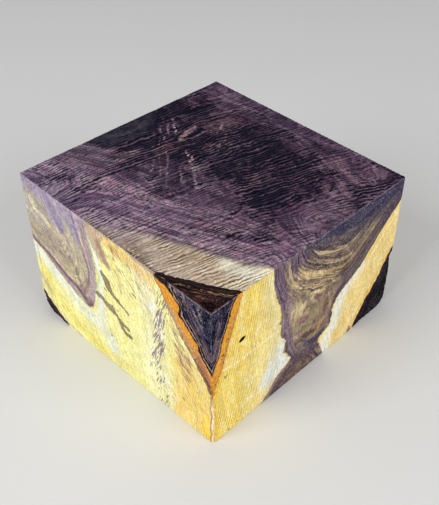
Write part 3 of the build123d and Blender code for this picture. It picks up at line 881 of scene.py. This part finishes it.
def sawn_wood(name, coat, strokes, waviness, line_pitch, figured, saw_shade, saw_depth, marbled):
    """One face's finish. Coat ends the names of its painted layers, and strokes names its layer of
    saw strokes. Waviness and pitch shape the growth's lines, figured says how bold they are, and
    saw_shade and saw_depth how strongly the saw's strokes show as painted light and shade and as
    relief. Marbled is for heartwood with black clouds, as on the top."""
    material, tree = new_material(name)

    def calc(kind, a, b=0.0, c=0.0):
        return add_node(tree, "Math", {0: a, 1: b, 2: c}, operation=kind).outputs[0]

    def total(*terms):
        """Adds up pairs of a value and its factor."""
        added = 0.0
        for value, factor in terms:
            added = calc("MULTIPLY_ADD", value, factor, added)
        return added

    def layer(name, output="Fac"):
        return add_node(tree, "Attribute", attribute_name=name).outputs[output]

    def between(value, low, high, to_low=0.0, to_high=1.0):
        """Goes smoothly from to_low to to_high as the value goes from low to high."""
        inputs = {"Value": value, "From Min": low, "From Max": high, "To Min": to_low, "To Max": to_high}
        return add_node(tree, "MapRange", inputs, interpolation_type="SMOOTHSTEP").outputs[0]

    def cloud(size, w=None, spots=None, detail=2.0, roughness=0.5):
        """Noise around 0 with blobs of this size in millimetres, or lines where w is given."""
        inputs = {"Vector": spots or place, "Scale": 1 / size, "Detail": detail, "Roughness": roughness}
        if w is not None:
            inputs["W"] = calc("MULTIPLY", w, size)
        found = add_node(tree, "TexNoise", inputs, noise_dimensions="3D" if w is None else "4D")
        return calc("SUBTRACT", found.outputs[0], 0.5)

    def over(share, under, colour, kind="MIX"):
        """Lays a colour over another, by a share from 0 to 1."""
        under, colour = ((*c, 1) if isinstance(c, (tuple, np.ndarray)) else c for c in (under, colour))
        inputs = {0: share, 6: under, 7: colour}
        return add_node(tree, "Mix", inputs, data_type="RGBA", blend_type=kind).outputs[2]

    def tinted(colour, value, low, high, first, last):
        """Multiplies a colour by a tint that goes from the first to the last with the value."""
        return over(1.0, colour, over(between(value, low, high), first, last), "MULTIPLY")

    def shaded(colour, factor):
        """Makes a colour lighter or darker by a factor."""
        grey = add_node(tree, "CombineColor", {0: factor, 1: factor, 2: factor}).outputs[0]
        return over(1.0, colour, grey, "MULTIPLY")

    def leaning(angle, stretch):
        """The place, turned about the block's width and drawn out upwards, for slanting streaks."""
        turn = {"Vector": place, "Rotation": (radians(angle), 0, 0), "Scale": (1, 1, 1 / stretch)}
        return add_node(tree, "Mapping", turn, vector_type="TEXTURE").outputs[0]

    seat = add_node(tree, "TexCoord").outputs["Object"]
    place = add_node(tree, "VectorMath", {0: seat, 3: 1000.0}, operation="SCALE").outputs[0]
    calm = total((layer("growth"), 1.0), (cloud(9), waviness))
    growth = total((calm, 1.0), (cloud(2.4), 2.2))
    figure = layer("figure" + coat)
    grain = cloud(1.25)
    drawn_out = leaning(0, 0.4)

    # saw strokes: painted light on the crests and painted shade in the troughs, stronger in some places
    # than in others, with random tone along each stroke
    stroke = total((layer(strokes), 1.0), (cloud(6, detail=4), 1.5 if marbled else 0.8))
    crest = calc("MULTIPLY_ADD", calc("SINE", calc("MULTIPLY", stroke, full_turn)), 0.5, 0.5)
    scratch = cloud(150, w=calc("MULTIPLY", layer(strokes), 0.5), detail=4, roughness=0.85)
    patchy = between(cloud(14, detail=3), -0.12, 0.14, 0.25, 1.1)
    trough = calc("POWER", calc("SUBTRACT", 1.0, crest), 2.5)
    saw = calc("MULTIPLY", total((calc("POWER", crest, 3.0), 0.5), (trough, -1.0)), patchy)
    saw = total((saw, 1.0), (scratch, 2.2))

    # sapwood: paler and more golden along its growth lines, with a short coarse grain
    lines = cloud(70, w=calc("DIVIDE", calm, line_pitch), detail=4, roughness=0.65)
    fine_lines = cloud(40, w=calc("MULTIPLY", calm, 3.2 / line_pitch), detail=3, roughness=0.6)
    sap = tinted(layer("sapwood" + coat, "Color"), lines, -0.14, 0.14, (1.08, 1.10, 1.18), (0.98, 0.93, 0.82))
    felt = cloud(1.7, spots=leaning(0 if marbled else -28, 0.2), detail=3, roughness=0.65)
    sap = tinted(sap, felt, -0.14, 0.14, (1.08, 1.11, 1.24), (0.96, 0.9, 0.76))
    sap = over(between(cloud(2.6, spots=drawn_out, detail=3), 0.04, 0.2, 0.0, 0.35), sap, rgb(255, 253, 230))
    sap = shaded(sap, between(grain, -0.2, 0.2, 0.91, 1.14))

    # heartwood: dark and light lines in the growth, boldest where its figure is painted
    both = total((lines, 0.5), (fine_lines, 0.5)) if marbled else total((lines, 0.3), (fine_lines, 0.7))
    bold = figured if marbled else total((figure, 0.25), (1.0, figured))
    swing = between(both, -0.07, 0.07, -1.0, 1.0)
    heart = shaded(layer("heartwood" + coat, "Color"), calc("MULTIPLY_ADD", swing, bold, 1.0))
    heart = tinted(heart, swing, -1, 1, (0.98, 0.9, 1.05), (1.03, 1.05, 0.9))
    heart = shaded(heart, between(total((grain, 1.0), (cloud(3, detail=3), 0.8)), -0.25, 0.25, 0.8, 1.22))
    thread = between(calc("ABSOLUTE", cloud(60, w=calc("DIVIDE", calm, line_pitch * 1.6))), 0.02, 0.004)
    if not marbled:
        shine = between(cloud(60, w=calc("DIVIDE", calm, line_pitch * 1.2), detail=1), 0.13, 0.18)
        gnarl = cloud(4, detail=4, roughness=0.72)
        gnarled = tinted(heart, gnarl, -0.12, 0.12, (0.76, 0.73, 0.82), (1.22, 1.22, 1.1))
        heart = over(total((figure, 0.9), (1.0, 0.2)), heart, gnarled)
        heart = tinted(heart, felt, -0.14, 0.14, (0.84, 0.8, 0.86), (1.15, 1.15, 1.08))
        drawn = total((figure, 0.6), (1.0, 0.6 * figured))
        heart = over(calc("MULTIPLY", thread, drawn), heart, rgb(54, 46, 58))
        heart = over(calc("MULTIPLY", shine, drawn), heart, rgb(212, 190, 146))
        heart = over(between(cloud(1.4), 0.08, 0.22, 0.0, 0.55), heart, rgb(176, 168, 176))
    else:
        # burgundy clouds, and black marbling that fills the troughs first, as painted shade, and leaves the
        # crests
        heart = tinted(heart, cloud(10, detail=3), -0.04, 0.16, (0.97, 1, 1), (0.96, 0.84, 0.92))
        shown = between(cloud(17), -0.08, 0.1, 0.2, 1.0)
        trough_shade = calc("MULTIPLY", calc("SUBTRACT", 0.5, crest), shown)
        torn = cloud(20, w=calc("MULTIPLY", layer(strokes), 0.4), detail=5, roughness=0.7)
        mottle = cloud(5, detail=5, roughness=0.75)
        heart = tinted(heart, mottle, -0.14, 0.14, (0.78, 0.78, 0.82), (1.22, 1.18, 1.16))
        rest = total((figure, 1.15), (trough_shade, 0.85), (torn, 1.7), (both, 1.2), (mottle, -2.3), (thread, 0.25))
        # the black is lighter on the saw's crests, a painted highlight
        ink = over(calc("MULTIPLY", calc("POWER", crest, 2.0), 0.22), rgb(3, 7, 25), rgb(66, 54, 78))
        heart = over(between(rest, 0.05, 0.83, 0.0, 0.96), heart, ink)
        heart = shaded(heart, between(cloud(1.0), -0.2, 0.2, 0.72, 1.36))
        glint = calc("MULTIPLY", calc("POWER", crest, 4.0), between(scratch, 0.0, 0.12))
        heart = over(calc("MULTIPLY", glint, 0.3), heart, rgb(164, 138, 154))

    # stain and flecks in the sapwood
    stain = total((layer("stain" + coat), 1.0), (cloud(1.8, spots=drawn_out, detail=3), 1.5))
    stained = over(between(cloud(1.2, detail=2), -0.12, 0.12), rgb(98, 80, 66), rgb(150, 130, 106))
    sap = over(between(stain, 0.25, 0.75, 0.0, 0.85), sap, stained)
    for marks, lean, tone in (("fleck", 22, (128, 108, 132)), ("dash", -38, (164, 120, 110))):
        dash = total((layer(marks + coat), 0.25), (cloud(1.1, spots=leaning(lean, 0.15)), 1.0))
        sap = over(between(dash, 0.21, 0.30, 0.0, 0.85), sap, rgb(*tone))

    edge = 3.0 if marbled else 0.6
    wood = over(between(growth, heart_from - edge, heart_from + edge), sap, heart)
    # strength of the saw strokes' painted light and shade, weaker in the heartwood
    saw_light_and_shade = between(growth, heart_from - 4, heart_from + 4, saw_shade, saw_shade * 0.55)
    wood = shaded(wood, calc("MULTIPLY_ADD", saw, saw_light_and_shade, 1.0))
    if not marbled:
        # painted highlight along the rim of the sawn wood
        rim_highlight = calc("MULTIPLY", layer("rim"), between(cloud(3), -0.12, 0.1, 0.1, 0.6))
        wood = over(rim_highlight, wood, rgb(164, 148, 160))

    # bark: thin layers, nested along the growth, with seams between them and mealy specks
    crust = total((growth, 1.0), (cloud(4, detail=3), 2.2))
    plates = cloud(22, w=calc("MULTIPLY", crust, 0.55), detail=4, roughness=0.75)
    seam = between(calc("ABSOLUTE", cloud(26, w=calc("MULTIPLY", crust, 0.8), detail=2)), 0.06, 0.015)

    def bark_of(dark, middle, light, specks):
        tone = over(between(plates, -0.09, 0.02), rgb(*dark), rgb(*middle))
        tone = over(between(plates, 0.05, 0.12, 0.0, 0.9), tone, rgb(*light))
        tone = shaded(tone, between(cloud(1.0, detail=2), -0.2, 0.2, 0.65, 1.4))
        tone = over(calc("MULTIPLY", seam, 0.9), tone, rgb(8, 8, 14))
        return over(between(cloud(1.4), 0.1, 0.2, 0.0, specks), tone, rgb(156, 154, 172))

    def ring(middle, reach):
        """A line along the growth, at one place in the bark."""
        return between(calc("ABSOLUTE", calc("SUBTRACT", crust, middle)), reach, reach * 0.4)

    outer = 0 if marbled else inner_from
    if marbled:
        # black beside the wood, with one thin golden layer
        bark = bark_of((9, 5, 9), (72, 45, 42), (148, 112, 92), 0.2)
        bark = over(between(crust, -8.5, -5.0, 0.0, 0.75), bark, rgb(24, 20, 23))
        bark = over(calc("MULTIPLY", ring(-8.5, 0.7), between(cloud(3), -0.06, 0.1)), bark, rgb(170, 142, 98))
        skin = bark
    else:
        # bluish and reddish layers, a dark and a pale ring beside the orange inner bark, and plain
        # dark bark at the lower corners
        bark = bark_of((22, 21, 34), (70, 65, 80), (168, 144, 138), 0.6)
        reddish = calc("MULTIPLY", between(crust, -26, -18), between(cloud(7), -0.1, 0.06))
        bark = over(1.0, bark, over(reddish, (0.9, 0.98, 1.1), (1.3, 1.04, 0.98)), "MULTIPLY")
        worn = calc("MULTIPLY", reddish, between(plates, -0.04, 0.06, 0.0, 0.7))
        bark = over(worn, bark, rgb(152, 126, 124))
        bark = over(1.0, bark, over(layer("reddish"), (0.72, 0.74, 0.84), (1.05, 1.02, 1.0)), "MULTIPLY")
        bark = over(ring(outer - 4.2, 0.7), bark, rgb(16, 14, 20))
        bark = over(ring(outer - 2.6, 0.7), bark, rgb(186, 160, 138))
        # painted highlight along the bark's rim
        rim_highlight = calc("MULTIPLY", layer("rim"), between(cloud(1.5), -0.12, 0.06))
        bark = over(rim_highlight, bark, rgb(146, 134, 152))
        inner = tinted(layer("inner", "Color"), cloud(1.8, detail=3, roughness=0.65), -0.1, 0.1,
                       (1.05, 1.16, 1.4), (0.84, 0.68, 0.6))
        soil = total((layer("stain"), 1.0), (cloud(1.4, detail=2), 1.8))
        inner = over(between(soil, 0.2, 0.5, 0.0, 0.85), inner, rgb(72, 54, 54))
        inner = over(between(growth, -1.6, -0.4, 0.0, 0.6), inner, rgb(140, 106, 66))
        inner = over(between(cloud(0.9), 0.12, 0.24, 0.0, 0.6), inner, rgb(150, 98, 50))
        skin = over(between(crust, outer - 0.4, outer + 0.4), bark, inner)
        skin = over(ring(outer - 0.8, 0.9), skin, rgb(26, 22, 28))
        lower = bark_of((20, 17, 22), (40, 34, 39), (74, 62, 66), 0.35)
        lower = over(1.0, lower, over(layer("reddish"), (1, 1, 1), (2.7, 1.9, 1.8)), "MULTIPLY")
        lower = over(between(crust, -3, -1, 0.0, 0.7), lower, rgb(120, 76, 48))
        # side bark near the front corner, and the darker bark of the lower corners further back
        skin = over(layer("front_bark"), lower, skin)
    colour = over(between(growth, -0.5, 0.5), skin, wood)
    # the beetle's hole, painted near black as painted shade
    colour = over(layer("hole"), colour, rgb(12, 9, 8))

    # the same marks as height, in millimetres
    is_bark = between(crust, outer + 0.3, outer - 0.8)
    height = total((saw, saw_depth), (grain, 0.16), (calc("MULTIPLY", plates, is_bark), 1.6))
    bump = add_node(tree, "Bump", {"Height": height, "Distance": 0.001, "Strength": 0.6}).outputs[0]
    inputs = {"Base Color": colour, "Roughness": between(is_bark, 0.0, 1.0, 0.8, 0.95), "Normal": bump}
    shade = add_node(tree, "BsdfPrincipled", inputs)
    shade.inputs["Specular IOR Level"].default_value = 0.04
    add_node(tree, "OutputMaterial", {"Surface": shade.outputs[0]})
    return material


# waviness, line pitch, how boldly figured, saw shade, saw depth and whether marbled, in that order
for finish in (
    ("walnut_top", "_top", "stroke_top", 3.0, 4.0, 0.5, 0.85, 0.30, True),
    ("walnut_right", "", "stroke_right", 4.0, 3.6, 0.28, 0.36, 0.15, False),
    ("walnut_left", "", "stroke_left", 2.0, 2.0, 0.13, 0.32, 0.15, False),
    ("walnut_far_sides", "", "stroke_far", 5.0, 3.6, 0.25, 0.28, 0.15, False),
):
    mesh.materials.append(sawn_wood(*finish))
mesh.polygons.foreach_set("material_index", finish_of.astype(np.int32))
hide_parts("turning_blank")
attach(blank, "root")
size = {"cad": [list(map(float, c)) for c in cad_box], "visual": [list(map(float, c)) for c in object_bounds()]}
